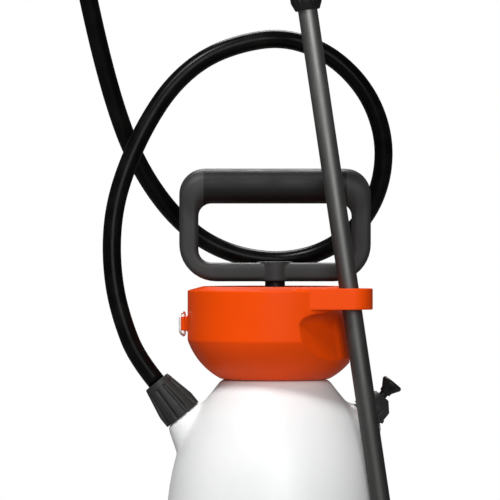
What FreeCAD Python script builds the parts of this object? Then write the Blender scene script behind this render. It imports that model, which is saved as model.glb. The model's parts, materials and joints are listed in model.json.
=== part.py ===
import FreeCAD, Part
import math
import os

# Compression pump sprayer, 5 litres. Millimetres. Origin on the floor under the tank's axis, +Z up,
# +X to the side that carries the parked lance, -Y to the side that the user faces.

V = FreeCAD.Vector
Z = V(0, 0, 1)
PARTS = "parts"

# Tank
TANK_SIDE = [(88, 24), (88, 60), (87.6, 130), (85.6, 170), (82.6, 205), (79, 235), (75.2, 264), (72, 285),
             (68, 299.5), (62.3, 313.5), (54.8, 327.5), (46.5, 338)]
TANK_TOP_R, TANK_TOP_Z = 39.0, 350.0
TANK_WALL = 3.0
TANK_FLOOR_Z, TANK_FOOT_R, TANK_DIMPLE_R, TANK_DIMPLE_Z = 4.0, 70.0, 56.0, 12.0
NECK_R, NECK_WALL, NECK_TOP = 29.0, 3.5, 386.0

# The two shoulder fittings, mirrored about the tank's axis
FITTING_X, FITTING_Z = 64.4, 324.8
FITTING_LEAN = 39.0            # degrees from vertical
BOSS_R, BOSS_BASE_R, BOSS_DEPTH = 13.8, 22.5, 24.0

# Filler funnel
FUNNEL_R, FUNNEL_WALL = 61.2, 3.5
FUNNEL_FLOOR_R, FUNNEL_CREASE_Z, FUNNEL_EDGE_Z, FUNNEL_LIP_Z = 38.0, 377.0, 411.8, 414.8
FUNNEL_MOUTH_R = 50.0
POCKET_X, POCKET_Z = 48.6, 385.0   # where the pocket's inner wall, parallel to the lance, crosses this height
POCKET_TOP, POCKET_ROUND = 399.0, 7.0
STRAP_X, STRAP_Z = -63.0, 388.5
EAR_TOP, EAR_BACK_Y, EAR_FRONT_Y, EAR_END_X = 413.6, -29.0, -56.5, 67.0

# Lance, parked with a lean in the XZ plane
LANCE_X, LANCE_Y, LANCE_Z = 23.2, -42.0, 598.2
LANCE_LEAN = 8.44              # degrees from vertical
LANCE_R, LANCE_BORE_R = 6.75, 5.0
LANCE_FOOT = -548.0            # lower end of the tube, along the lance from its reference point
EAR_HOLE_R = 7.15

# Trigger handle, in the lance's own upright frame, with heights from its reference point
GRIP_LOW, GRIP_HIGH = 33.0, 200.0
GRIP_RIGHT = [(13, 33), (14.2, 60), (12.4, 92), (11, 130), (11.8, 170), (10.5, 200)]
GRIP_LEFT = [(-13, 33), (-14, 60), (-15, 100), (-16.5, 140), (-15.8, 175), (-12.5, 200)]
GRIP_DEPTH, GRIP_SHELL = 13.5, 2.6
PIVOT_X, PIVOT_Z, PIVOT_R = 17.5, 52.0, 2.0
STEM_Z, STEM_R = 84.0, 2.5
SCREW_PLACES = [(-9.5, 121.0), (7.8, 160.0), (-9.0, 186.0)]
SCREW_R, SCREW_HEAD_R, SCREW_BOSS_R = 1.2, 2.4, 3.1

# Pump
BARREL_R, BARREL_BORE_R, BARREL_FOOT = 19.0, 16.8, 190.0
ROD_R, ROD_TOP = 7.0, 428.0
PISTON_FOOT, PISTON_TOP = 198.0, 214.0
CAP_R, CAP_FOOT, CAP_TOP = 34.0, 362.0, 399.0

# Pump handle
HANDLE_HALF, HANDLE_FOOT, HANDLE_TOP = 67.0, 418.0, 497.0
HANDLE_DEPTH, GRIP_R, BAR_HEIGHT, POST_WIDTH = 20.0, 12.0, 13.2, 13.4
GRIP_BAR = 24.5                # height of the loop's top bar, a little more than the round grip

# Hose
HOSE_R = 6.5
CORNER_SHARE = 0.45            # how much of the shorter run each arc of the route takes
HOSE_ROUTE = [(-106.8, 1, 390.3), (-112.9, 4, 414.8),
              (-115.1, 7, 443.5), (-112.4, 10, 472.3), (-103.5, 14, 501.2), (-89.8, 19, 530.6),
              (-72.6, 23.5, 556.6), (-50.0, 27, 576.2), (-22.8, 30, 587.0), (5.9, 33, 589.3),
              (34.0, 36, 581.0), (56.4, 38, 564.4), (71.8, 40, 541.0), (78.9, 43, 512.6),
              (74.9, 48, 482.1), (60.1, 54.5, 456.1), (35.9, 60, 438.6), (6.9, 63, 431.7),
              (-22.5, 64, 434.6), (-48.7, 63, 445.0), (-70.6, 60.5, 462.9), (-88.7, 56.5, 486.2),
              (-103.2, 51, 513.2), (-113.3, 44.5, 541.9), (-121.2, 37, 570.7), (-127.9, 28.5, 599.3),
              (-137.0, 19, 643.0), (-143.5, 9.5, 688.5), (-148.0, 0.5, 734.0), (-150.5, -9, 780.0),
              (-149.0, -18, 824.0), (-141.9, -23, 852.5), (-126.0, -28, 874.6), (-102.6, -32.5, 888.8),
              (-75.8, -36.5, 893.0), (-49.6, -39.5, 886.8), (-27.9, -41.5, 870.4)]
OUTLET_LEAD, HANDLE_LEAD = 22.0, 25.5   # straight stretches where the hose leaves each fitting
OUTLET_NUT_TOP, HANDLE_BARB_TOP = 29.5, 226.0


def ring(outer, inner, low, high):
    """A tube about Z; inner 0 gives a plain disc or rod."""
    body = Part.makeCylinder(outer, high - low, V(0, 0, low))
    return body.cut(Part.makeCylinder(inner, high - low, V(0, 0, low))) if inner else body


def cone(r_low, r_high, low, high):
    """A cone frustum about Z."""
    return Part.makeCone(r_low, r_high, high - low, V(0, 0, low))


def rod(start, end, radius):
    """A round bar between two points."""
    return Part.makeCylinder(radius, (end - start).Length, start, end - start)


def box(low, high):
    """A box between two opposite corners."""
    low, high = V(*low), V(*high)
    size = high - low
    return Part.makeBox(size.x, size.y, size.z, low)


def line(a, b):
    return Part.LineSegment(a, b).toShape()


def arc(a, middle, b):
    return Part.Arc(a, middle, b).toShape()


def spline(points):
    curve = Part.BSplineCurve()
    curve.interpolate(points)
    return curve.toShape()


def lathe(edges):
    """The solid swept by a closed outline in the XZ plane turning about Z."""
    return Part.Face(Part.Wire(edges)).revolve(V(0, 0, 0), Z, 360)


def lathe_points(outline):
    """A turned solid from a closed list of (radius, height) corners."""
    corners = [V(r, 0, z) for r, z in outline]
    return lathe([line(a, b) for a, b in zip(corners, corners[1:] + corners[:1])])


def union(shapes):
    first, *rest = shapes
    return first.multiFuse(rest).removeSplitter() if rest else first


def around(shape, count, start=0.0):
    """Copies of a shape at equal angles about Z."""
    copies = []
    for step in range(count):
        turned = shape.copy()
        turned.rotate(V(0, 0, 0), Z, start + 360.0 * step / count)
        copies.append(turned)
    return copies


def fluted(body, r_low, low, r_high, high, radius, count):
    """Cuts round grooves along a cylinder or cone."""
    groove = rod(V(r_low, 0, low), V(r_high, 0, high), radius)
    return body.cut(Part.makeCompound(around(groove, count)))


def placed(shape, origin, lean):
    """Turns a shape built along Z by lean degrees about Y, then moves it to origin."""
    moved = shape.copy()
    moved.Placement = FreeCAD.Placement(origin, FreeCAD.Rotation(V(0, 1, 0), lean)).multiply(shape.Placement)
    return moved


def at_outlet(shape):
    return placed(shape, V(-FITTING_X, 0, FITTING_Z), -FITTING_LEAN)


def at_relief(shape):
    return placed(shape, V(FITTING_X, 0, FITTING_Z), FITTING_LEAN)


def at_lance(shape):
    return placed(shape, V(LANCE_X, LANCE_Y, LANCE_Z), -LANCE_LEAN)


def outlet_point(height):
    """A point on the outlet's axis, above the boss's face."""
    lean = math.radians(FITTING_LEAN)
    return V(-FITTING_X - height * math.sin(lean), 0, FITTING_Z + height * math.cos(lean))


def lance_point(height):
    """A point on the lance's axis, above its reference point."""
    lean = math.radians(LANCE_LEAN)
    return V(LANCE_X - height * math.sin(lean), LANCE_Y, LANCE_Z + height * math.cos(lean))


def rounded(shape, radius, wanted):
    """Rounds the edges that a test picks."""
    return shape.makeFillet(radius, [edge for edge in shape.Edges if wanted(edge)])


# ---------------------------------------------------------------- tank

def tank_body(inset):
    """The blown tank's outer form, or its cavity when inset by the wall."""
    side = [V(r - inset, 0, z) for r, z in TANK_SIDE]
    top, floor = TANK_TOP_Z - inset, TANK_FLOOR_Z + inset
    shoulder = V(TANK_TOP_R - inset, 0, top - 2.5)
    side = spline(side + [shoulder])
    ends = [line(shoulder, V(TANK_TOP_R - inset - 2.5, 0, top)),
            line(V(TANK_TOP_R - inset - 2.5, 0, top), V(0, 0, top)),
            line(V(0, 0, top), V(0, 0, TANK_DIMPLE_Z + inset)),
            line(V(0, 0, TANK_DIMPLE_Z + inset), V(TANK_DIMPLE_R - inset, 0, TANK_DIMPLE_Z + inset)),
            line(V(TANK_DIMPLE_R - inset, 0, TANK_DIMPLE_Z + inset), V(TANK_FOOT_R - 8, 0, floor)),
            line(V(TANK_FOOT_R - 8, 0, floor), V(TANK_FOOT_R, 0, floor)),
            arc(V(TANK_FOOT_R, 0, floor), V(82.6 - inset * 0.7, 0, 9.4 + inset * 0.7), V(88 - inset, 0, 24))]
    return lathe([side] + ends)


def boss(inset):
    """One shoulder boss, widening into the tank."""
    return cone(BOSS_BASE_R - inset, BOSS_R - inset, -BOSS_DEPTH, -inset)


def tank_shell():
    neck = ring(NECK_R, 0, TANK_TOP_Z - 6, NECK_TOP)
    threads = [ring(NECK_R + 0.9, NECK_R - 1, z, z + 1.6) for z in (367.5, 373.0, 378.5)]
    outer = union([tank_body(0), neck, at_outlet(boss(0)), at_relief(boss(0))])
    cavity = union([tank_body(TANK_WALL), at_outlet(boss(TANK_WALL)), at_relief(boss(TANK_WALL))])
    inside = union([cavity, ring(NECK_R - NECK_WALL, 0, TANK_TOP_Z - 10, NECK_TOP)])
    bore = ring(6.0, 0, -BOSS_DEPTH, 1)
    return union([outer.cut(inside)] + threads).cut(at_outlet(bore)).cut(at_relief(bore))


def base_foot():
    """The stand ring under the tank, with the socket that the nozzle parks in."""
    stand = lathe_points([(0, 0), (90, 0), (92.5, 3), (92.5, 24), (91.5, 26), (88.4, 26), (88.4, 22),
                          (86.5, 4), (52, 4), (50, 2.8), (0, 2.8)])
    ribs = around(box((91, -2.5, 0), (94, 2.5, 24)), 12, 15)
    socket = at_lance(ring(14.5, 0, -620, -562))
    web = box((88.5, -9, 0), (118, 9, 20))
    web.rotate(V(0, 0, 0), Z, math.degrees(math.atan2(LANCE_Y, lance_point(-595).x)))
    solid = union([stand] + ribs + [socket, web])
    solid = solid.cut(at_lance(ring(11.5, 0, -599, -540))).cut(box((-200, -200, -40), (200, 200, 0)))
    return solid.cut(lathe_points([(0, 4), (86.5, 4), (88.4, 22), (88.4, 60), (0, 60)]))


# ---------------------------------------------------------------- filler funnel

def pocket(inset, top):
    """The leaning block that the lance's pocket leaves empty, grown inwards by the wall for the cavity."""
    side, corner = POCKET_X - inset, V(0.751, -0.659, 0) * inset
    near, far = V(POCKET_X, -14, 0) - V(inset, 0, 0) - V(0, inset * 0.4, 0), V(40.5, -32, 0) - corner
    outside = V(8, -69, 0) - corner
    back, front_right, back_right = V(side, 80, 0), V(90, -90, 0), V(90, 80, 0)
    outline = [line(back, near), arc(near, V(47.2, -24, 0) - corner, far), line(far, outside),
               line(outside, front_right), line(front_right, back_right), line(back_right, back)]
    block = Part.Face(Part.Wire(outline)).extrude(V(0, 0, top - 330))
    block.translate(V(0, 0, 330))

    def upper_inner(edge):
        box_ = edge.BoundBox
        return box_.ZMin > top - 0.1 and edge.CenterOfMass.x < 60 and edge.CenterOfMass.y > -62

    block = rounded(block, POCKET_ROUND, upper_inner)
    block.rotate(V(POCKET_X, 0, POCKET_Z), V(0, 1, 0), -LANCE_LEAN)
    return block


def funnel_form(inset):
    """The funnel's outer form, or its cavity when inset by the wall."""
    floor_z = TANK_TOP_Z + inset
    foot = V(FUNNEL_FLOOR_R - inset * 0.4, 0, floor_z)
    belly = V(54.2 - inset * 0.8, 0, 363.8 + inset * 0.6)
    crease = V(FUNNEL_R - inset, 0, FUNNEL_CREASE_Z)
    edge = V(FUNNEL_R - inset, 0, FUNNEL_EDGE_Z - inset * 0.6)
    lip = V(FUNNEL_MOUTH_R, 0, FUNNEL_LIP_Z - inset)
    top = V(0, 0, FUNNEL_LIP_Z - inset)
    return lathe([line(V(0, 0, floor_z), foot), arc(foot, belly, crease), line(crease, edge),
                  line(edge, lip), line(lip, top), line(top, V(0, 0, floor_z))])


def ear():
    """The eye that holds the parked lance, level with the funnel's rim."""
    middle = (EAR_BACK_Y + EAR_FRONT_Y) / 2
    end_r = (EAR_BACK_Y - EAR_FRONT_Y) / 2
    low, high = POCKET_TOP, EAR_TOP
    tab = box((14, EAR_FRONT_Y, low), (EAR_END_X - end_r, EAR_BACK_Y, high))
    nose = Part.makeCylinder(end_r, high - low, V(EAR_END_X - end_r, middle, low))
    return union([tab, nose]).cut(ring(FUNNEL_R - FUNNEL_WALL, 0, low, high))


def strap_lug():
    """The lug on the funnel's side that the strap ring turns in."""
    low, high, half = STRAP_Z - 5, STRAP_Z + 5, 2.8
    nose = rod(V(STRAP_X, 0, low), V(STRAP_X, 0, high), half)
    lug = union([box((STRAP_X, -half, low), (-59, half, high)), nose])
    return lug.cut(rod(V(STRAP_X, 0, low - 5), V(STRAP_X, 0, high + 5), 1.0))


def filler_funnel():
    bowl = funnel_form(0).cut(pocket(0, POCKET_TOP))
    cavity = funnel_form(FUNNEL_WALL).cut(pocket(FUNNEL_WALL, POCKET_TOP + FUNNEL_WALL))
    bowl = bowl.cut(cavity).cut(ring(NECK_R + 0.3, 0, 340, 360)).cut(ring(FUNNEL_MOUTH_R, 0, 410, 420))
    solid = union([bowl, ear(), strap_lug()])
    return solid.cut(at_lance(ring(EAR_HOLE_R, 0, -230, -170)))


def strap_ring():
    """A wire D-ring standing on its hinge bar, folded towards the front."""
    wire_r, reach, half, corner, fold = 0.85, 10.5, 9.2, 3.2, 72
    low, high = STRAP_Z - half, STRAP_Z + half
    path = [V(0, 0, low), V(0, 0, high), V(-reach, 0, high - 3.0), V(-reach, 0, low + 3.0)]
    edges = []
    for before, here, after in zip(path[-1:] + path[:-1], path, path[1:] + path[:1]):
        first, second = (before - here).normalize(), (after - here).normalize()
        bend = math.pi - first.getAngle(second)
        arm = corner * math.tan(bend / 2)
        centre_way = (first + second).normalize()
        middle = here + centre_way * (corner / math.cos(bend / 2) - corner)
        edges.append((here + first * arm, middle, here + second * arm))
    loop = []
    for turn, following in zip(edges, edges[1:] + edges[:1]):
        loop += [arc(*turn), line(turn[2], following[0])]
    path_wire = Part.Wire(loop)
    start = path_wire.Edges[1].Vertexes[0].Point
    way = path_wire.Edges[1].tangentAt(path_wire.Edges[1].FirstParameter)
    section = Part.Wire(Part.makeCircle(wire_r, start, way))
    ring_ = path_wire.makePipeShell([section], True, False)
    ring_.rotate(V(0, 0, 0), Z, fold)
    ring_.translate(V(STRAP_X, 0, 0))
    return ring_


def funnel_nut():
    """The ring that clamps the funnel's floor on the tank's shoulder."""
    body = ring(35.5, NECK_R + 0.05, TANK_TOP_Z + FUNNEL_WALL, 361.0)
    return body.cut(Part.makeCompound(around(box((33.8, -2.5, 350), (37, 2.5, 370)), 10)))


# ---------------------------------------------------------------- pump

def pump_cap():
    skirt = fluted(ring(CAP_R, 0, CAP_FOOT, CAP_TOP), CAP_R + 0.6, CAP_FOOT - 1, CAP_R + 0.6, 394, 1.5, 30)
    crown = cone(CAP_R - 1.5, CAP_R - 4, CAP_TOP, CAP_TOP + 1.5)
    collar = union([ring(15, 0, CAP_TOP, 409.5), cone(15, 13.5, 409.5, 411)])
    body = union([skirt, crown, collar])
    inside = union([ring(NECK_R + 1.1, 0, CAP_FOOT - 1, 388), ring(NECK_R, 0, 387, 394)])
    return body.cut(inside).cut(ring(ROD_R + 0.4, 0, 390, 412)).cut(ring(10.5, 0, 402, 405))


def pump_barrel():
    tube = ring(BARREL_R, BARREL_BORE_R, BARREL_FOOT, 388.5)
    flange = ring(28.5, BARREL_BORE_R, 388.0, 391.0)
    floor = ring(BARREL_R, 0, BARREL_FOOT, BARREL_FOOT + 3)
    holes = around(Part.makeCylinder(2.0, 6, V(9, 0, BARREL_FOOT - 1)), 6)
    return union([tube, flange, floor]).cut(Part.makeCompound(holes))


def rod_guide():
    """The bush in the barrel's mouth, bored for the rod."""
    return union([ring(16.7, 0, 376, 391.5), ring(28.3, 0, 391, 393.8)]).cut(ring(ROD_R + 0.06, 0, 370, 400))


def valve_cage():
    """The basket clipped over the barrel's foot, which keeps the air valve's flap."""
    cage = ring(21, 0, 178, 198).cut(ring(BARREL_R, 0, 182, 200))
    windows = around(box((13, -4, 177), (24, 4, 187)), 4)
    return cage.cut(Part.makeCompound(windows))


def air_valve():
    return union([ring(14, 0, 187.2, 189.6), ring(4, 0, 183.5, 188)])


def piston():
    body = ring(16.4, 5.0, PISTON_FOOT + 5, PISTON_TOP)
    skirt = ring(16.4, 7.5, PISTON_FOOT, PISTON_FOOT + 5)
    return union([body, skirt]).cut(ring(20, 14.4, 204.5, 210.5))


def piston_cup():
    """The sealing ring in the piston's groove."""
    return lathe_points([(14.4, 204.7), (16.2, 204.7), (16.74, 207), (16.74, 208.5), (16.2, 210.3),
                         (14.4, 210.3)])


def pump_rod():
    """The round rod, with the spigot and head that the piston turns on."""
    shaft = ring(ROD_R, 0, PISTON_TOP + 0.4, ROD_TOP)
    spigot = ring(4.94, 0, 202, PISTON_TOP + 1)
    head = cone(6.2, ROD_R, 199, 202.6)
    bore = ring(3.2, 0, 199, 400)
    pin_hole = rod(V(0, -9, 424.5), V(0, 9, 424.5), 1.75)
    return union([shaft, spigot, head]).cut(bore).cut(pin_hole)


def bumper():
    """The rubber buffer under the rod guide, met at the top of the stroke."""
    return ring(13, ROD_R, PISTON_TOP + 0.8, 222)


def corner_points(x, z, radius, way_x, way_z):
    """Start, middle and end of a quarter round at a corner, anticlockwise; the ways point outwards."""
    centre = V(x - way_x * radius, 0, z - way_z * radius)
    half = radius * math.sqrt(0.5)
    flat, upright = centre + V(0, 0, way_z * radius), centre + V(way_x * radius, 0, 0)
    middle = centre + V(way_x * half, 0, way_z * half)
    return (flat, middle, upright) if way_x * way_z < 0 else (upright, middle, flat)


def handle_frame():
    """The closed loop's posts, corners and lower bar, as a rounded plate."""
    side, top, foot = HANDLE_HALF, HANDLE_TOP, HANDLE_FOOT
    corners = [corner_points(side, foot, 26.0, 1, -1), corner_points(side, top, 18.0, 1, 1),
               corner_points(-side, top, 18.0, -1, 1), corner_points(-side, foot, 26.0, -1, -1)]
    edges = []
    for turn, following in zip(corners, corners[1:] + corners[:1]):
        edges += [arc(*turn), line(turn[2], following[0])]
    plate = Part.Face(Part.Wire(edges)).extrude(V(0, HANDLE_DEPTH, 0))
    inner, sill, head = side - POST_WIDTH, foot + BAR_HEIGHT, top - GRIP_BAR
    window = box((-inner, -1, sill), (inner, HANDLE_DEPTH + 1, head))
    plate = plate.cut(rounded(window, 9.0, lambda e: e.BoundBox.YLength > HANDLE_DEPTH))
    plate.translate(V(0, -HANDLE_DEPTH / 2, 0))
    return rounded(plate, 3.0, lambda e: e.BoundBox.YLength < 0.1)


def pump_handle():
    grip_z, reach = HANDLE_TOP - GRIP_BAR / 2, 48.0
    frame = handle_frame().cut(box((-reach, -30, HANDLE_TOP - GRIP_BAR - 1), (reach, 30, HANDLE_TOP + 1)))
    grip = rod(V(-reach - 2.5, 0, grip_z), V(reach + 2.5, 0, grip_z), GRIP_R)
    hub = ring(12.0, 0, HANDLE_FOOT, HANDLE_FOOT + BAR_HEIGHT - 1)
    body = union([frame, grip, hub])
    bore = ring(ROD_R, 0, HANDLE_FOOT - 4, ROD_TOP)
    return body.cut(bore).cut(rod(V(0, -15, 424.5), V(0, 15, 424.5), 1.75))


def handle_pin():
    """The cross pin that holds the rod in the handle's hub."""
    return rod(V(0, -9.8, 424.5), V(0, 9.8, 424.5), 1.75)


# ---------------------------------------------------------------- outlet and hose

def outlet_stem():
    thread = ring(5.95, 0, -16, 2)
    flange = ring(11, 0, 1.5, 4.5)
    barb = union([ring(4.5, 0, 4, OUTLET_NUT_TOP)] + [cone(4.9, 4.5, z, z + 3) for z in (9, 15, 21)])
    return union([thread, flange, barb]).cut(ring(2.6, 0, -20, 30))


def hose_nut(length, r_low, r_high):
    """The tapered, fluted nut that clamps the hose on its barb. It stands on Z = 0."""
    skirt = ring(r_low, 0, 0, length * 0.28)
    taper = cone(r_low, r_high + 0.8, length * 0.28, length * 0.9)
    mouth = cone(r_high + 0.8, r_high, length * 0.9, length)
    body = fluted(union([skirt, taper, mouth]), r_low + 0.9, -1, r_high + 1.6, length * 0.86, 1.5, 10)
    return body.cut(ring(11.1, 0, -1, 5)).cut(ring(HOSE_R + 0.1, 0, 4, length + 1))


def dip_route():
    """The suction tube's route, from the outlet's tail down to the tank's floor."""
    start, bend = outlet_point(-16.0), outlet_point(-50.0)
    return [start, bend, V(bend.x, 0, 28)]


def dip_tube():
    return pipe(dip_route(), 4.0)[0].cut(pipe(dip_route(), 2.6)[0])


def dip_strainer():
    foot = dip_route()[-1]
    x, top = foot.x, foot.z + 10
    body = Part.makeCylinder(7, 21.5, V(x, 0, top - 21.5))
    slots = [box((x - 9, -1.2, z), (x + 9, 1.2, z + 2)) for z in (19, 23)]
    return body.cut(Part.makeCylinder(4.0, 12, V(x, 0, foot.z))).cut(Part.makeCompound(slots))


def rounded_route(points):
    """Straight runs joined by tangent arcs, each as large as its two runs allow."""
    edges, radii, start = [], [], points[0]
    for before, corner, after in zip(points, points[1:], points[2:]):
        arm = CORNER_SHARE * min((before - corner).Length, (after - corner).Length)
        first, second = (before - corner).normalize(), (after - corner).normalize()
        bend = math.pi - first.getAngle(second)
        radius = arm / math.tan(bend / 2)
        middle = corner + (first + second).normalize() * (radius / math.cos(bend / 2) - radius)
        entry, leave = corner + first * arm, corner + second * arm
        edges += [line(start, entry), arc(entry, middle, leave)]
        radii.append(radius)
        start = leave
    edges.append(line(start, points[-1]))
    return Part.Wire(edges), radii


def pipe(points, radius):
    """A round solid along a rounded route, with the route and its bend radii."""
    path, radii = rounded_route(points)
    section = Part.Wire(Part.makeCircle(radius, points[0], points[1] - points[0]))
    return path.makePipeShell([section], True, False), path, radii


def hose():
    first = [outlet_point(OUTLET_NUT_TOP), outlet_point(OUTLET_NUT_TOP + OUTLET_LEAD)]
    last = [lance_point(HANDLE_BARB_TOP + HANDLE_LEAD), lance_point(HANDLE_BARB_TOP)]
    points = first + [V(*p) for p in HOSE_ROUTE] + last
    solid, path, radii = pipe(points, HOSE_R)
    print("hose length %.1f mm, volume / (section x length) %.4f"
          % (path.Length, solid.Volume / (math.pi * HOSE_R ** 2 * path.Length)))
    print("hose bend radii", " ".join("%.0f" % r for r in radii))
    return solid


# ---------------------------------------------------------------- pressure relief valve

def relief_valve_body():
    flange = ring(12.4, 0, 1.5, 4)
    barrel = fluted(ring(11.6, 0, 4, 10.5), 12.0, 3, 12.0, 11, 1.2, 12)
    taper = cone(11.6, 5.6, 10.5, 17)
    thread = ring(5.95, 0, -14, 2)
    bore = union([ring(3.06, 0, 0, 18), ring(5.0, 0, 1, 11.5), ring(2.4, 0, -15, 1)])
    return union([flange, barrel, taper, thread]).cut(bore)


def relief_stem():
    """The valve's spindle with its seat disc."""
    return union([ring(3.0, 0, 3.4, 24), ring(4.6, 0, 1.6, 3.6)]).cut(ring(3.6, 0, 1.4, 2.0))


def relief_seal():
    return ring(3.6, 0, 1.05, 2.0)


def relief_knob():
    form = lathe_points([(3.0, 19.5), (4.0, 19.5), (4.4, 22), (7.7, 27), (7.7, 28.4), (6.6, 29.4), (0, 29.6),
                         (0, 24), (3.0, 24)])
    return fluted(form, 8.3, 26, 8.3, 29.6, 0.9, 12)


def coil(radius, wire, pitch, low, high):
    """A helical spring about Z."""
    helix = Part.makeHelix(pitch, high - low - 2 * wire, radius)
    helix.translate(V(0, 0, low + wire))
    start = helix.Edges[0].Vertexes[0].Point
    way = helix.Edges[0].tangentAt(helix.Edges[0].FirstParameter)
    section = Part.Wire(Part.makeCircle(wire, start, way))
    return Part.Wire(helix.Edges).makePipeShell([section], True, True)


# ---------------------------------------------------------------- lance and trigger handle


def lance_tube():
    tube = ring(LANCE_R, LANCE_BORE_R, LANCE_FOOT, 22)
    return at_lance(union([tube, ring(8.2, LANCE_BORE_R, 19.5, 22)]))


def lance_union_nut():
    body = union([cone(8.5, 11, 7, 13), ring(11, 0, 13, 31)])
    body = fluted(body, 11.5, 12, 11.5, 32, 1.1, 16)
    return at_lance(body.cut(ring(LANCE_R + 0.05, 0, 6, 14)).cut(ring(8.55, 0, 13.5, 32)))


def lance_oring():
    return at_lance(ring(8.0, LANCE_BORE_R, 22, 24))


def valve_body():
    """The trigger valve's body, with its cross bore for the stem."""
    barrel = ring(8.5, 0, 24, 112)
    cross = rod(V(-11.6, 0, STEM_Z), V(9.0, 0, STEM_Z), 7.5)
    flow = ring(4.0, 0, 20, 113)
    chamber = rod(V(-10.6, 0, STEM_Z), V(-1.8, 0, STEM_Z), 5.2)
    stem_bore = rod(V(-3, 0, STEM_Z), V(10, 0, STEM_Z), STEM_R + 0.06)
    return at_lance(union([barrel, cross]).cut(flow).cut(chamber).cut(stem_bore))


def valve_stem():
    pin = rod(V(-5, 0, STEM_Z), V(21.0, 0, STEM_Z), STEM_R)
    disc = rod(V(-4.2, 0, STEM_Z), V(-2.2, 0, STEM_Z), 4.8)
    return at_lance(union([pin, disc]))


def valve_spring():
    spring = coil(3.9, 0.45, 1.6, 0, 5.2)
    spring.Placement = FreeCAD.Placement(V(-10.4, 0, STEM_Z), FreeCAD.Rotation(V(0, 1, 0), 90))
    return at_lance(spring)


def grip_outline(inset, depth):
    """The grip's side profile drawn out to a given depth each way from the middle."""
    right = [V(x - inset, 0, z) for x, z in GRIP_RIGHT]
    left = [V(x + inset, 0, z) for x, z in GRIP_LEFT]
    right[0].z = left[0].z = GRIP_LOW + inset
    right[-1].z = left[-1].z = GRIP_HIGH - inset
    edges = [spline(right), line(right[-1], left[-1]), spline(left), line(left[0], right[0])]
    form = Part.Face(Part.Wire(Part.__sortEdges__(edges))).extrude(V(0, 2 * depth, 0))
    form.translate(V(0, -depth, 0))
    return form


def grip_whole():
    """The trigger handle's hollow grip before it is split in two halves."""
    outer = rounded(grip_outline(0, GRIP_DEPTH), 4.5, lambda e: e.BoundBox.YLength < 0.1)
    inner = grip_outline(GRIP_SHELL, GRIP_DEPTH - GRIP_SHELL)
    cheeks = []
    for low, high in ((-11.4, -7.6), (7.6, 11.4)):
        disc = rod(V(PIVOT_X, low, PIVOT_Z), V(PIVOT_X, high, PIVOT_Z), 5.5)
        cheeks += [disc, box((8, low, PIVOT_Z - 5.5), (PIVOT_X, high, PIVOT_Z + 5.5))]
    pillars = [rod(V(x, -GRIP_DEPTH + 1, z), V(x, GRIP_DEPTH - 1, z), SCREW_BOSS_R) for x, z in SCREW_PLACES]
    body = union([outer.cut(inner)] + cheeks + pillars)
    body = body.cut(ring(8.6, 0, 20, 50)).cut(ring(5.2, 0, 190, 210))
    for x, z in SCREW_PLACES:
        body = body.cut(rod(V(x, -20, z), V(x, 8, z), SCREW_R))
        body = body.cut(rod(V(x, -20, z), V(x, -9, z), SCREW_HEAD_R + 0.1))
    pin = rod(V(PIVOT_X, -20, PIVOT_Z), V(PIVOT_X, 20, PIVOT_Z), PIVOT_R)
    slot = box((4, -7.4, PIVOT_Z - 8), (30, 7.4, PIVOT_Z + 12)).cut(ring(9.2, 0, 30, 80))
    keyway = box((-9, -20, 128.0), (-1, -GRIP_DEPTH + 6, 146.0))
    stem = rod(V(0, 0, STEM_Z), V(30, 0, STEM_Z), STEM_R + 0.5)
    return body.cut(pin).cut(slot).cut(keyway).cut(stem)


def grip_half(front):
    y_low, y_high = (-40, 0) if front else (0, 40)
    return at_lance(grip_whole().common(box((-40, y_low, 0), (60, y_high, 230))))


def grip_screws():
    """Three identical screws from the front half into the back one."""
    screws = []
    for x, z in SCREW_PLACES:
        shank = rod(V(x, -11, z), V(x, 7.5, z), SCREW_R)
        head = rod(V(x, -11.2, z), V(x, -9, z), SCREW_HEAD_R)
        slot = box((x - 2, -11.5, z - 0.35), (x + 2, -10.5, z + 0.35))
        screws.append(union([shank, head]).cut(slot))
    return at_lance(Part.makeCompound(screws))


def trigger():
    """The squeeze lever, hinged beside the valve."""
    points = [(20.6, 60), (21.6, 84), (22.4, 110), (23.4, 150), (28.5, 168), (33.0, 169), (31.0, 150),
              (29.6, 110), (28.2, 84), (25.0, 56), (20.5, 46.5), (14.5, 47.0), (12.6, 52.0), (14.5, 57.0)]
    corners = [V(x, 0, z) for x, z in points]
    edges = [line(a, b) for a, b in zip(corners, corners[1:] + corners[:1])]
    form = Part.Face(Part.Wire(edges)).extrude(V(0, 13.6, 0))
    form.translate(V(0, -6.8, 0))
    form = rounded(form, 1.6, lambda e: e.BoundBox.YLength < 0.1 and e.CenterOfMass.z > 70)
    return at_lance(form.cut(rod(V(PIVOT_X, -9, PIVOT_Z), V(PIVOT_X, 9, PIVOT_Z), PIVOT_R + 0.06)))


def trigger_pin():
    return at_lance(rod(V(PIVOT_X, -11.9, PIVOT_Z), V(PIVOT_X, 11.9, PIVOT_Z), PIVOT_R))


def trigger_lock():
    """The slide button in the grip's front face, which blocks the trigger."""
    plate = box((-8.6, -GRIP_DEPTH - 1.0, 128.4), (-1.4, -GRIP_DEPTH + 2.2, 139.0))
    ribs = [box((-8.0, -GRIP_DEPTH - 2.0, z), (-2.0, -GRIP_DEPTH, z + 1.2)) for z in (130, 132.7, 135.4)]
    return at_lance(union([plate] + ribs))


def handle_filter():
    body = ring(3.9, 2.6, 92, 111)
    slots = [box((-6, -0.8, z), (6, 0.8, z + 2)) for z in (95, 99, 103)]
    return at_lance(body.cut(Part.makeCompound(slots)))


def handle_barb():
    """The tube from the valve to the hose, with its flange on the valve's body."""
    tube = union([ring(4.5, 0, 112, HANDLE_BARB_TOP), ring(8.4, 0, 112, 115.5)])
    barbs = [cone(4.9, 4.5, z, z + 3) for z in (208, 214)]
    return at_lance(union([tube] + barbs).cut(ring(2.6, 0, 110, 230)))


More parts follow.
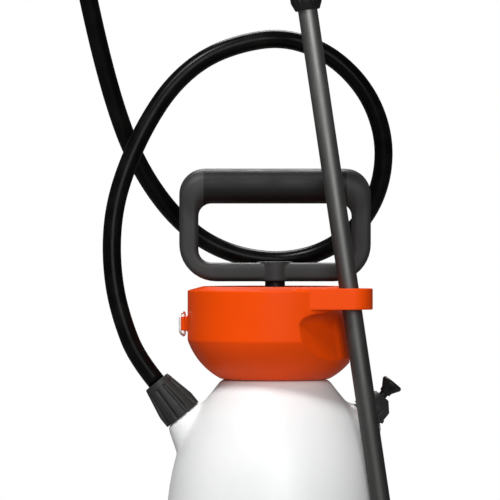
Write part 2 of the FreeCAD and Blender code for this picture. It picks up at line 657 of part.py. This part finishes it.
def handle_hose_nut():
    nut = hose_nut(25, 11.5, 9.0)
    nut.translate(V(0, 0, 201))
    return at_lance(nut)


def nozzle_body():
    body = union([ring(8.6, 0, -562, -544), ring(7.4, 0, -577.2, -560)])
    body = fluted(body, 9.2, -563, 9.2, -543, 1.0, 10)
    return at_lance(body.cut(ring(LANCE_R, 0, LANCE_FOOT, -540)).cut(ring(2.5, 0, -580, -540)))


def nozzle_seal():
    return at_lance(ring(8.2, 7.4, -572, -570))


def swirl_insert():
    body = ring(4.2, 0, -584, -577.2)
    return at_lance(body.cut(box((-5, -0.6, -585), (5, 0.6, -582))))


def nozzle_cap():
    body = union([ring(10, 0, -587, -564), cone(7, 10, -592, -587)])
    body = fluted(body, 10.6, -588, 10.6, -566, 1.2, 14)
    inside = union([ring(8.25, 0, -577.5, -560), ring(4.8, 0, -585, -577), ring(0.8, 0, -600, -580)])
    return at_lance(body.cut(inside))


# ---------------------------------------------------------------- the list of sub-parts

def relief_spring():
    return at_relief(coil(3.9, 0.45, 1.9, 3.8, 11.3))


NODES = {
    "tank_shell": tank_shell,
    "base_foot": base_foot,
    "filler_funnel": filler_funnel,
    "funnel_nut": funnel_nut,
    "strap_ring": strap_ring,
    "pump_cap": pump_cap,
    "cap_gasket": lambda: ring(28.8, 25.6, NECK_TOP, 388.0),
    "pump_barrel": pump_barrel,
    "rod_guide": rod_guide,
    "rod_seal": lambda: ring(10.4, ROD_R + 0.06, 402.1, 404.9),
    "valve_cage": valve_cage,
    "air_valve": air_valve,
    "piston": piston,
    "piston_cup": piston_cup,
    "pump_rod": pump_rod,
    "bumper": bumper,
    "pump_handle": pump_handle,
    "handle_pin": handle_pin,
    "outlet_gasket": lambda: at_outlet(ring(11.0, 6.0, 0, 1.5)),
    "outlet_stem": lambda: at_outlet(outlet_stem()),
    "tank_hose_nut": lambda: at_outlet(hose_nut(OUTLET_NUT_TOP, 14.2, 9.6)),
    "dip_tube": dip_tube,
    "dip_strainer": dip_strainer,
    "relief_gasket": lambda: at_relief(ring(11.0, 6.0, 0, 1.5)),
    "relief_valve_body": lambda: at_relief(relief_valve_body()),
    "relief_stem": lambda: at_relief(relief_stem()),
    "relief_seal": lambda: at_relief(relief_seal()),
    "relief_spring": relief_spring,
    "relief_knob": lambda: at_relief(relief_knob()),
    "hose": hose,
    "lance_tube": lance_tube,
    "lance_union_nut": lance_union_nut,
    "lance_oring": lance_oring,
    "valve_body": valve_body,
    "valve_stem": valve_stem,
    "valve_spring": valve_spring,
    "grip_front": lambda: grip_half(True),
    "grip_back": lambda: grip_half(False),
    "grip_screws": grip_screws,
    "trigger": trigger,
    "trigger_pin": trigger_pin,
    "trigger_lock": trigger_lock,
    "handle_filter": handle_filter,
    "handle_barb": handle_barb,
    "handle_hose_nut": handle_hose_nut,
    "nozzle_body": nozzle_body,
    "nozzle_seal": nozzle_seal,
    "swirl_insert": swirl_insert,
    "nozzle_cap": nozzle_cap,
}


def main():
    os.makedirs(PARTS, exist_ok=True)
    for name, make in NODES.items():
        shape = make()
        shape.exportStep(os.path.join(PARTS, name + ".step"))
        print("%-18s %9.0f mm3, %d solid(s), valid %s"
              % (name, shape.Volume, len(shape.Solids), shape.isValid()))


main()
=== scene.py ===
"""Looks of a compression pump sprayer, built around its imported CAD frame. Metres, +Z up."""

import json
import math

import bmesh
import bpy
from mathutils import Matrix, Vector


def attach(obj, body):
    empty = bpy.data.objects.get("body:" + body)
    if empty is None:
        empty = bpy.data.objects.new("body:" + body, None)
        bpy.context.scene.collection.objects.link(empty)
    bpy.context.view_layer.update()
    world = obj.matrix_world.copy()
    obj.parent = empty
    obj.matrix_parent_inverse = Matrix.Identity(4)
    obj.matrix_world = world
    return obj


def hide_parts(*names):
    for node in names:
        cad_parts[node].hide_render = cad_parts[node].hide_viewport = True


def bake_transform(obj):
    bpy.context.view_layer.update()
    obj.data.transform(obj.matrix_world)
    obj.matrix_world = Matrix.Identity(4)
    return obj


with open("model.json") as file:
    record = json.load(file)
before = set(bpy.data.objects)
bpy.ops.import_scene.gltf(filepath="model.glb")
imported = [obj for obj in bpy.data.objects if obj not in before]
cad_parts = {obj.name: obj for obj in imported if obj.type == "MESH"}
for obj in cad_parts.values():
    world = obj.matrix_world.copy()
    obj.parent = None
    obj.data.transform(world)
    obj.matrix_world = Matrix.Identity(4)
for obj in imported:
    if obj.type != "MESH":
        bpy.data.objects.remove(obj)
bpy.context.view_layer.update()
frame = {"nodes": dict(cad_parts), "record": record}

MM = 0.001
NODES = frame["nodes"]
BODY_OF = {n: body for body, members in frame["record"]["behaviour"]["bodies"].items() for n in members}
SLOT_OF = {s["node"]: s["material_slot"] for s in frame["record"]["subparts"]}

# Sizes in millimetres, the same as in the CAD part
FITTING_X, FITTING_Z = 64.4, 324.8           # where the outlet (left) and relief valve (right) stand
FITTING_LEAN = math.radians(39.0)
LANCE_X, LANCE_Y, LANCE_Z = 23.2, -42.0, 598.2
LANCE_LEAN = math.radians(8.44)
HANDLE_HALF, HANDLE_LOW, HANDLE_HIGH = 67.0, 418.0, 497.0
HANDLE_LOWER_ROUND, HANDLE_UPPER_ROUND = 26.0, 18.0
WINDOW_HALF, WINDOW_LOW, WINDOW_HIGH, WINDOW_ROUND = 53.6, 431.2, 472.5, 9.0
GRIP_HALF = 50.0                             # half the length of the darker grip bar


# ---------------------------------------------------------------- camera

CAMERA_SPAN = 0.350            # width of the view where the object stands
CAMERA_DISTANCE = 2.5
CAMERA_CENTRE = Vector((-0.0175, 0.0, 0.440))


def make_camera():
    data = bpy.data.cameras.new("camera")
    data.sensor_width = 36.0
    data.lens = data.sensor_width * CAMERA_DISTANCE / CAMERA_SPAN
    data.clip_end = 50.0
    camera = bpy.data.objects.new("camera", data)
    camera.location = CAMERA_CENTRE - Vector((0, CAMERA_DISTANCE, 0))
    camera.rotation_euler = (math.radians(90), 0, 0)
    bpy.context.scene.collection.objects.link(camera)
    bpy.context.scene.camera = camera


make_camera()


# ---------------------------------------------------------------- node materials

def linked(tree, kind, **inputs):
    """A node of a kind, with socket values set or other nodes' outputs linked by socket name."""
    node = tree.nodes.new(kind)
    for name, value in inputs.items():
        socket = node.inputs[name.replace("_", " ")]
        if isinstance(value, bpy.types.NodeSocket):
            tree.links.new(value, socket)
        else:
            socket.default_value = value
    return node


def noise(tree, place, scale, detail=3.0, roughness=0.55):
    node = linked(tree, "ShaderNodeTexNoise", Vector=place, Scale=scale, Detail=detail, Roughness=roughness)
    return node.outputs["Fac"]


def ranged(tree, value, low, high, start=0.3, end=0.7):
    """Spreads the values from start to end over low to high; noise lies mostly in mid-range."""
    node = linked(tree, "ShaderNodeMapRange", Value=value)
    for name, number in (("From Min", start), ("From Max", end), ("To Min", low), ("To Max", high)):
        node.inputs[name].default_value = number
    return node.outputs["Result"]


def mixed(tree, factor, first, second):
    """A colour mix; its sockets are taken by number, because several share a name."""
    node = tree.nodes.new("ShaderNodeMix")
    node.data_type = "RGBA"
    for socket, value in ((node.inputs[0], factor), (node.inputs[6], first), (node.inputs[7], second)):
        if isinstance(value, bpy.types.NodeSocket):
            tree.links.new(value, socket)
        else:
            socket.default_value = value if isinstance(value, float) else (*value, 1.0)
    return node.outputs[2]


def stretched(tree, place, scale):
    node = tree.nodes.new("ShaderNodeMapping")
    tree.links.new(place, node.inputs["Vector"])
    node.inputs["Scale"].default_value = scale
    return node.outputs["Vector"]


def bumped(tree, height, strength, distance, below=None):
    node = linked(tree, "ShaderNodeBump", Height=height, Strength=strength, Distance=distance)
    if below is not None:
        tree.links.new(below, node.inputs["Normal"])
    return node.outputs["Normal"]


def new_material(name):
    material = bpy.data.materials.new(name)
    material.use_nodes = True
    tree = material.node_tree
    tree.nodes.clear()
    shader = tree.nodes.new("ShaderNodeBsdfPrincipled")
    output = tree.nodes.new("ShaderNodeOutputMaterial")
    tree.links.new(shader.outputs[0], output.inputs["Surface"])
    place = tree.nodes.new("ShaderNodeTexCoord").outputs["Object"]
    return material, tree, shader, place


def moulded_plastic(name, colour, variation, rough, grain, depth, specular):
    """Injection-moulded plastic: slow colour drift, flow marks in the gloss, and a fine tool grain."""
    material, tree, shader, place = new_material(name)
    drift = ranged(tree, noise(tree, place, 18.0, 4.0), 0.0, 1.0)
    darker = [c * (1 - variation) for c in colour]
    lighter = [min(1.0, c * (1 + variation)) for c in colour]
    tree.links.new(mixed(tree, drift, darker, lighter), shader.inputs["Base Color"])
    flow = ranged(tree, noise(tree, place, 60.0, 5.0), rough - 0.05, rough + 0.08)
    tree.links.new(flow, shader.inputs["Roughness"])
    fine = bumped(tree, noise(tree, place, grain, 2.0), 0.35, depth)
    slow = bumped(tree, noise(tree, place, 45.0, 2.0), 0.25, 0.0002, fine)
    tree.links.new(slow, shader.inputs["Normal"])
    shader.inputs["Specular IOR Level"].default_value = specular
    return material


HANDLE_COLOUR, GRIP_COLOUR = (0.030, 0.030, 0.0298), (0.004, 0.004, 0.0039)
HOSE_BLACK, HOSE_DUST = (0.0022, 0.0022, 0.0021), (0.006, 0.006, 0.0057)
# Painted shade on the lance: below the lower height it takes the first, darker colour, and above the upper
# height its own second colour.
SHADED_METAL, UNSHADED_METAL = (0.085, 0.085, 0.083), (0.225, 0.225, 0.221)
FULL_SHADE_BELOW, NO_SHADE_ABOVE = 0.31, 0.58         # heights in metres between which the lance's surface changes


def shader_of(material):
    return next(n for n in material.node_tree.nodes if n.type == "BSDF_PRINCIPLED")


def place_axes(tree):
    """The X, Y and Z of a point on the object."""
    place = tree.nodes.new("ShaderNodeTexCoord").outputs["Object"]
    return linked(tree, "ShaderNodeSeparateXYZ", Vector=place).outputs


def calculated(tree, operation, *values):
    """The result of a math node on other nodes' outputs."""
    node = tree.nodes.new("ShaderNodeMath")
    node.operation = operation
    for value, socket in zip(values, node.inputs):
        tree.links.new(value, socket)
    return node.outputs[0]


def tinted(material, factor, first, second):
    """Mixes a material's colour anew: a colour of None stands for the one that it has."""
    tree, colour = material.node_tree, shader_of(material).inputs["Base Color"]
    own = colour.links[0].from_socket
    pair = [own if choice is None else choice for choice in (first, second)]
    tree.links.new(mixed(tree, factor, *pair), colour)


def tank_plastic():
    """Milky blow-moulded polyethylene with faint vertical draw marks."""
    material, tree, shader, place = new_material("tank_plastic")
    cloud = ranged(tree, noise(tree, place, 9.0, 4.0), 0.0, 1.0)
    tree.links.new(mixed(tree, cloud, (0.86, 0.87, 0.87), (0.93, 0.935, 0.93)), shader.inputs["Base Color"])
    draw = noise(tree, stretched(tree, place, (160.0, 160.0, 5.0)), 1.0, 3.0)
    tree.links.new(ranged(tree, draw, 0.32, 0.46), shader.inputs["Roughness"])
    fine = bumped(tree, noise(tree, place, 900.0, 2.0), 0.12, 0.0001)
    tree.links.new(bumped(tree, draw, 0.10, 0.0003, fine), shader.inputs["Normal"])
    shader.inputs["Subsurface Weight"].default_value = 0.35
    shader.inputs["Subsurface Radius"].default_value = (0.012, 0.012, 0.012)
    shader.inputs["Subsurface Scale"].default_value = 1.0
    shader.inputs["Specular IOR Level"].default_value = 0.45
    return material


def metal(name, colour, rough, lines, stretch=(1.0, 1.0, 1.0)):
    """Drawn or turned metal with fine lines along one way."""
    material, tree, shader, place = new_material(name)
    shader.inputs["Metallic"].default_value = 1.0
    grain = noise(tree, stretched(tree, place, stretch), lines, 4.0)
    darker = [c * 0.86 for c in colour]
    tree.links.new(mixed(tree, ranged(tree, grain, 0.0, 1.0), darker, colour), shader.inputs["Base Color"])
    smudge = noise(tree, place, 30.0, 4.0)
    tree.links.new(ranged(tree, smudge, rough - 0.05, rough + 0.09), shader.inputs["Roughness"])
    tree.links.new(bumped(tree, grain, 0.3, 0.00004), shader.inputs["Normal"])
    return material


def lance_metal():
    """Satin drawn tube, with painted shade that darkens it towards its foot."""
    material = metal("lance_metal", UNSHADED_METAL, 0.5, 1.0, (900.0, 900.0, 14.0))
    tree = material.node_tree
    # painted shade: the lance's colour darkens from the upper height down to the lower one
    unshaded = ranged(tree, place_axes(tree)["Z"], 0.0, 1.0, FULL_SHADE_BELOW, NO_SHADE_ABOVE)
    tinted(material, unshaded, SHADED_METAL, None)
    return material


def hose_rubber():
    """Glossy extruded hose wall with a little handling dust."""
    material, tree, shader, place = new_material("hose_rubber")
    dust = ranged(tree, noise(tree, place, 55.0, 6.0), 0.0, 1.0, 0.45, 0.75)
    tree.links.new(mixed(tree, dust, HOSE_BLACK, HOSE_DUST), shader.inputs["Base Color"])
    tree.links.new(ranged(tree, noise(tree, place, 85.0, 4.0), 0.2, 0.33), shader.inputs["Roughness"])
    fine = bumped(tree, noise(tree, place, 1400.0, 2.0), 0.15, 0.00008)
    uneven = bumped(tree, noise(tree, place, 110.0, 2.0), 0.12, 0.0002, fine)
    tree.links.new(uneven, shader.inputs["Normal"])
    shader.inputs["Specular IOR Level"].default_value = 0.065
    return material


def handle_plastic():
    """The handle's dark plastic, with a darker grip bar between its upper corners."""
    material = moulded_plastic("handle_plastic", HANDLE_COLOUR, 0.08, 0.5, 1300.0, 0.00012, 0.25)
    tree = material.node_tree
    along, _, height = place_axes(tree)
    aside = calculated(tree, "ABSOLUTE", along)
    inside = ranged(tree, aside, 1.0, 0.0, GRIP_HALF * MM - 0.0005, GRIP_HALF * MM + 0.0005)
    above = ranged(tree, height, 0.0, 1.0, WINDOW_HIGH * MM - 0.002, WINDOW_HIGH * MM - 0.001)
    tinted(material, calculated(tree, "MULTIPLY", inside, above), None, GRIP_COLOUR)
    return material


PLASTICS = {
    # name: (colour, its variation, roughness, scale and depth of the tool grain, specular level)
    "orange_plastic": ((0.80, 0.066, 0.001), 0.04, 0.42, 1500.0, 0.00004, 0.09),
    "dark_plastic": ((0.021, 0.021, 0.0208), 0.08, 0.50, 1300.0, 0.00012, 0.25),
    "black_plastic": ((0.009, 0.009, 0.0089), 0.10, 0.42, 1500.0, 0.00008, 0.22),
    "white_plastic": ((0.75, 0.75, 0.72), 0.04, 0.40, 1200.0, 0.00005, 0.50),
    "rubber": ((0.016, 0.016, 0.016), 0.15, 0.72, 1000.0, 0.00015, 0.30),
}

METALS = {
    # name: (colour, roughness, scale of the turning lines)
    "spring_steel": ((0.62, 0.61, 0.58), 0.24, 400.0),
    "zinc": ((0.93, 0.92, 0.91), 0.55, 500.0),
    "brass": ((0.72, 0.50, 0.20), 0.26, 700.0),
}

MATERIALS = {
    "tank_plastic": tank_plastic(),
    "handle_plastic": handle_plastic(),
    "hose_rubber": hose_rubber(),
    "lance_metal": lance_metal(),
}
MATERIALS.update({name: moulded_plastic(name, *values) for name, values in PLASTICS.items()})
MATERIALS.update({name: metal(name, *values) for name, values in METALS.items()})


def dress(piece, material):
    """Gives a piece one material by name."""
    piece.data.materials.clear()
    piece.data.materials.append(MATERIALS[material])


# ---------------------------------------------------------------- mesh tools

def turns(count):
    """Evenly spaced angles round a circle."""
    return [2 * math.pi * k / count for k in range(count)]


def object_of(name, mesh):
    piece = bpy.data.objects.new(name, mesh)
    bpy.context.scene.collection.objects.link(piece)
    return piece


def smooth_shaded(mesh):
    mesh.polygons.foreach_set("use_smooth", [True] * len(mesh.polygons))
    mesh.update()


def applied(piece):
    """Turns a piece's modifiers into its mesh."""
    graph = bpy.context.evaluated_depsgraph_get()
    mesh = bpy.data.meshes.new_from_object(piece.evaluated_get(graph))
    piece.modifiers.clear()
    old, piece.data = piece.data, mesh
    bpy.data.meshes.remove(old)
    smooth_shaded(piece.data)
    return piece


def eased(piece, voxel, passes, keep):
    """Remeshes a piece, eases its sharp edges and keeps a share of its faces."""
    remesh = piece.modifiers.new("remesh", "REMESH")
    remesh.mode = "VOXEL"
    remesh.voxel_size = voxel * MM
    ease = piece.modifiers.new("ease", "SMOOTH")
    ease.factor = 0.5
    ease.iterations = passes
    thin = piece.modifiers.new("thin", "DECIMATE")
    thin.ratio = keep
    return applied(piece)


def in_place_of(node, piece, material=None):
    """Shows a piece instead of a CAD node, on the node's body."""
    dress(piece, material or SLOT_OF[node])
    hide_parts(node)
    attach(piece, BODY_OF[node])


def softened(node, voxel, passes, keep, material=None):
    """A moulded version of a CAD node: the same form with its sharp edges eased."""
    piece = object_of(node + "_moulded", NODES[node].data.copy())
    in_place_of(node, eased(piece, voxel, passes, keep), material)


def mesh_of_rings(name, rings, loop=False):
    """A skin over rings of points, each with as many points, with flat ends or closed on itself."""
    count = len(rings[0])
    vertices = [point for ring in rings for point in ring]
    faces = []
    for r in range(len(rings) if loop else len(rings) - 1):
        here, following = r * count, (r + 1) % len(rings) * count
        for k in range(count):
            k_next = (k + 1) % count
            faces.append((here + k, here + k_next, following + k_next, following + k))
    if not loop:
        faces.append(tuple(reversed(range(count))))
        faces.append(tuple(range((len(rings) - 1) * count, len(rings) * count)))
    mesh = bpy.data.meshes.new(name)
    mesh.from_pydata([tuple(v) for v in vertices], [], faces)
    smooth_shaded(mesh)
    return object_of(name, mesh)


def joined(name, pieces):
    """One piece made of several pieces' meshes, which it takes the place of."""
    shape = bmesh.new()
    for piece in pieces:
        shape.from_mesh(piece.data)
        bpy.data.objects.remove(piece)
    mesh = bpy.data.meshes.new(name)
    shape.to_mesh(mesh)
    shape.free()
    return object_of(name, mesh)


# ---------------------------------------------------------------- hose

HOSE_DIAMETER = 13.0 * MM
HOSE_SIDES = 28
OUTLET_NUT_TOP, HANDLE_BARB_TOP = 29.5, 226.0
OUTLET_LEAD, HANDLE_LEAD = 22.0, 25.5
HOSE_ROUTE = [(-106.8, 1, 390.3), (-112.9, 4, 414.8),
              (-115.1, 7, 443.5), (-112.4, 10, 472.3), (-103.5, 14, 501.2), (-89.8, 19, 530.6),
              (-72.6, 23.5, 556.6), (-50.0, 27, 576.2), (-22.8, 30, 587.0), (5.9, 33, 591.0),
              (34.0, 36, 582.2), (56.4, 38, 564.4), (71.8, 40, 541.0), (78.9, 43, 512.6),
              (74.9, 48, 482.1), (60.1, 54.5, 456.1), (35.9, 60, 438.6), (6.9, 63, 431.7),
              (-22.5, 64, 434.6), (-48.7, 63, 445.0), (-70.6, 60.5, 462.9), (-88.7, 56.5, 486.2),
              (-103.2, 51, 513.2), (-113.3, 44.5, 541.9), (-121.2, 37, 570.7), (-127.9, 28.5, 599.3),
              (-137.0, 19, 643.0), (-143.5, 9.5, 688.5), (-148.0, 0.5, 734.0), (-150.5, -9, 780.0),
              (-149.0, -18, 824.0), (-141.9, -23, 852.5), (-126.0, -28, 874.6), (-102.6, -32.5, 888.8),
              (-75.8, -36.5, 893.0), (-49.6, -39.5, 886.8), (-27.9, -41.5, 870.4)]


def outlet_point(height):
    """A point on the tank outlet's axis, above its boss."""
    return (-FITTING_X - height * math.sin(FITTING_LEAN), 0.0, FITTING_Z + height * math.cos(FITTING_LEAN))


def lance_point(height):
    """A point on the lance's axis, above its reference point."""
    return (LANCE_X - height * math.sin(LANCE_LEAN), LANCE_Y, LANCE_Z + height * math.cos(LANCE_LEAN))


def spline_points(route):
    """Points read from the smooth spline that a route's points control."""
    data = bpy.data.curves.new("route", "CURVE")
    data.dimensions = "3D"
    data.resolution_u = 10
    spline = data.splines.new("NURBS")
    spline.points.add(len(route) - 1)
    for point, place in zip(spline.points, route):
        point.co = (*[c * MM for c in place], 1.0)
    spline.order_u = 3
    spline.use_endpoint_u = True
    carrier = object_of("route", data)
    mesh = bpy.data.meshes.new_from_object(carrier)
    points = [v.co.copy() for v in mesh.vertices]
    bpy.data.objects.remove(carrier)
    bpy.data.curves.remove(data)
    bpy.data.meshes.remove(mesh)
    return points


def tube(name, points, radius, sides):
    """A round skin along points, carried along without twist."""
    rings, side = [], None
    for i, here in enumerate(points):
        way = (points[min(i + 1, len(points) - 1)] - points[max(i - 1, 0)]).normalized()
        side = way.orthogonal() if side is None else side - way * side.dot(way)
        side.normalize()
        across = way.cross(side)
        rings.append([here + (side * math.cos(a) + across * math.sin(a)) * radius
                      for a in turns(sides)])
    return mesh_of_rings(name, rings)


def make_hose():
    route = [outlet_point(OUTLET_NUT_TOP), outlet_point(OUTLET_NUT_TOP + OUTLET_LEAD)] + HOSE_ROUTE
    route += [lance_point(HANDLE_BARB_TOP + HANDLE_LEAD), lance_point(HANDLE_BARB_TOP)]
    points = spline_points(route)
    hose = tube("hose_tube", points, HOSE_DIAMETER / 2, HOSE_SIDES)
    dress(hose, "hose_rubber")
    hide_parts("hose")
    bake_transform(hose)


make_hose()


# ---------------------------------------------------------------- moulded pieces

SOFTENED = {
    # node: (voxel in mm, smoothing passes, share of faces kept, material where it isn't its slot's)
    "tank_shell": (1.6, 14, 0.5),
    "base_foot": (1.1, 3, 0.4),
    "filler_funnel": (0.6, 2, 0.4),
    "tank_hose_nut": (0.4, 2, 0.5),
    "handle_hose_nut": (0.4, 2, 0.5),
    "pump_cap": (0.55, 2, 0.4),
    "grip_front": (0.6, 3, 0.4),
    "grip_back": (0.6, 3, 0.4),
    "trigger": (0.6, 4, 0.5),
    "trigger_lock": (0.25, 2, 0.6),
    "relief_valve_body": (0.35, 2, 0.5, "handle_plastic"),
    "relief_knob": (0.3, 2, 0.6),
    "lance_union_nut": (0.4, 2, 0.5),
    "nozzle_cap": (0.35, 2, 0.5),
    "nozzle_body": (0.35, 2, 0.5),
}


def make_moulded_pieces():
    for node, values in SOFTENED.items():
        softened(node, *values)


make_moulded_pieces()


# ---------------------------------------------------------------- pump handle

POST_DEPTH, GRIP_DEPTH = 10.0, 12.0          # half thicknesses, front to back
POST_POWER, GRIP_POWER = 4.5, 2.2            # how boxy the section is; 2 is an ellipse
GRIP_FADE_LOW, GRIP_FADE_HIGH = 462.0, 484.0  # the heights between which post turns into grip
HUB_RADIUS, HUB_TOP = 12.0, 432.0


def rounded_loop(half, low, high, lower, upper, per_corner=10, per_side=14):
    """Points round an upright rectangle with rounded corners, counter-clockwise from the lower right."""
    corners = [(half - lower, low + lower, lower, -90), (half - upper, high - upper, upper, 0),
               (upper - half, high - upper, upper, 90), (lower - half, low + lower, lower, 180)]
    arcs = [[Vector((x + r * math.cos(a), 0, z + r * math.sin(a)))
             for a in (math.radians(start + 90 * k / per_corner) for k in range(per_corner + 1))]
            for x, z, r, start in corners]
    points = []
    for arc, following in zip(arcs, arcs[1:] + arcs[:1]):
        points += arc + [arc[-1].lerp(following[0], k / per_side) for k in range(1, per_side)]
    return points


def powered(value, power):
    """A sine or cosine bent into a superellipse's."""
    return math.copysign(abs(value) ** (2 / power), value)


def handle_ring(outer, inner, sides=44):
    """The handle's section between its outline and its window: boxy on a post, round on the grip."""
    centre, reach = (outer + inner) / 2, (outer - inner) / 2
    part = min(1.0, max(0.0, (centre.z - GRIP_FADE_LOW) / (GRIP_FADE_HIGH - GRIP_FADE_LOW)))
    fade = part * part * (3 - 2 * part)
    depth = POST_DEPTH + (GRIP_DEPTH - POST_DEPTH) * fade
    power = POST_POWER + (GRIP_POWER - POST_POWER) * fade
    thick = Vector((0, depth, 0))
    return [(centre + reach * powered(math.cos(a), power) + thick * powered(math.sin(a), power)) * MM
            for a in turns(sides)]


def make_handle():
    outer = rounded_loop(HANDLE_HALF, HANDLE_LOW, HANDLE_HIGH, HANDLE_LOWER_ROUND, HANDLE_UPPER_ROUND)
    inner = rounded_loop(WINDOW_HALF, WINDOW_LOW, WINDOW_HIGH, WINDOW_ROUND, WINDOW_ROUND)
    bow = mesh_of_rings("bow", [handle_ring(*pair) for pair in zip(outer, inner)], loop=True)
    hub = mesh_of_rings("hub", [[Vector((HUB_RADIUS * math.cos(a), HUB_RADIUS * math.sin(a), z)) * MM
                                 for a in turns(48)] for z in (HANDLE_LOW, HUB_TOP)])
    handle = eased(joined("pump_handle_moulded", [bow, hub]), 0.7, 4, 0.4)
    in_place_of("pump_handle", handle, "handle_plastic")


make_handle()


# ---------------------------------------------------------------- valve gasket

GASKET_RADIUS, GASKET_BEAD, GASKET_HEIGHT = 10.8, 2.1, -1.6


def valve_point(height, across=0.0):
    """A point on the relief valve's axis, or beside it in the upright plane through it."""
    return Vector((FITTING_X + height * math.sin(FITTING_LEAN) - across * math.cos(FITTING_LEAN), 0.0,
                   FITTING_Z + height * math.cos(FITTING_LEAN) + across * math.sin(FITTING_LEAN)))


def make_gasket():
    """The rubber ring that the valve squeezes out round its boss."""
    centre = valve_point(GASKET_HEIGHT)
    side, ahead = valve_point(GASKET_HEIGHT, 1.0) - centre, Vector((0, 1, 0))
    up = valve_point(1.0) - valve_point(0.0)
    rings = []
    for a in turns(72):
        out = side * math.cos(a) + ahead * math.sin(a)
        rings.append([(centre + out * (GASKET_RADIUS + GASKET_BEAD * math.cos(b))
                       + up * GASKET_BEAD * math.sin(b)) * MM for b in turns(16)])
    gasket = mesh_of_rings("valve_gasket", rings, loop=True)
    dress(gasket, "rubber")
    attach(gasket, "tank")


make_gasket()


# ---------------------------------------------------------------- CAD nodes that stay as they are

FINISH_OF = {"strap_ring": "zinc"}           # where it isn't the material named after the node's slot

for node_name, node_object in NODES.items():
    dress(node_object, FINISH_OF.get(node_name, SLOT_OF[node_name]))


# ---------------------------------------------------------------- floor and light

FLOOR_RADIUS = 3.6             # its far edge stays just below the level camera's view
FLOOR_Z = -0.0002              # a hair under the feet, so that no two faces share a plane
LIT_POINT = Vector((0, 0, 0.45))
SKY_LIGHT = 0.10               # light from all round, which the white backdrop doesn't add to


def seen_or_lit(tree, seen, lit):
    """One value where the camera sees a thing directly and another for the light that it sends on."""
    path = tree.nodes.new("ShaderNodeLightPath")
    return mixed(tree, path.outputs["Is Camera Ray"], (lit,) * 3, (seen,) * 3)


def make_floor():
    """A pale round floor that catches shadows but throws little light back up."""
    edge = [(FLOOR_RADIUS * math.cos(a), FLOOR_RADIUS * math.sin(a), FLOOR_Z) for a in turns(128)]
    mesh = bpy.data.meshes.new("floor")
    mesh.from_pydata(edge, [], [tuple(range(len(edge)))])
    floor = object_of("floor", mesh)
    material, tree, shader, place = new_material("floor")
    tree.links.new(seen_or_lit(tree, 0.86, 0.32), shader.inputs["Base Color"])
    tree.links.new(ranged(tree, noise(tree, place, 40.0), 0.5, 0.6), shader.inputs["Roughness"])
    mesh.materials.append(material)


def area_light(name, place, size, power):
    data = bpy.data.lights.new(name, "AREA")
    data.shape = "RECTANGLE"
    data.size, data.size_y = size
    data.energy = power
    light = bpy.data.objects.new(name, data)
    light.location = place
    light.rotation_euler = (LIT_POINT - Vector(place)).to_track_quat("-Z", "Y").to_euler()
    light.visible_camera = False
    bpy.context.scene.collection.objects.link(light)


def make_light():
    world = bpy.data.worlds.new("studio")
    world.use_nodes = True
    tree = world.node_tree
    tree.links.new(seen_or_lit(tree, 1.0, SKY_LIGHT), tree.nodes["Background"].inputs["Color"])
    bpy.context.scene.world = world
    area_light("key", (-0.7, -1.1, 2.2), (0.5, 0.5), 40.0)
    area_light("fill", (0.3, -2.7, 1.35), (1.4, 1.4), 42.0)
    area_light("rim", (0.0, 1.0, 1.7), (0.8, 0.5), 20.0)


make_floor()
make_light()
bpy.context.scene.view_settings.view_transform = "Standard"
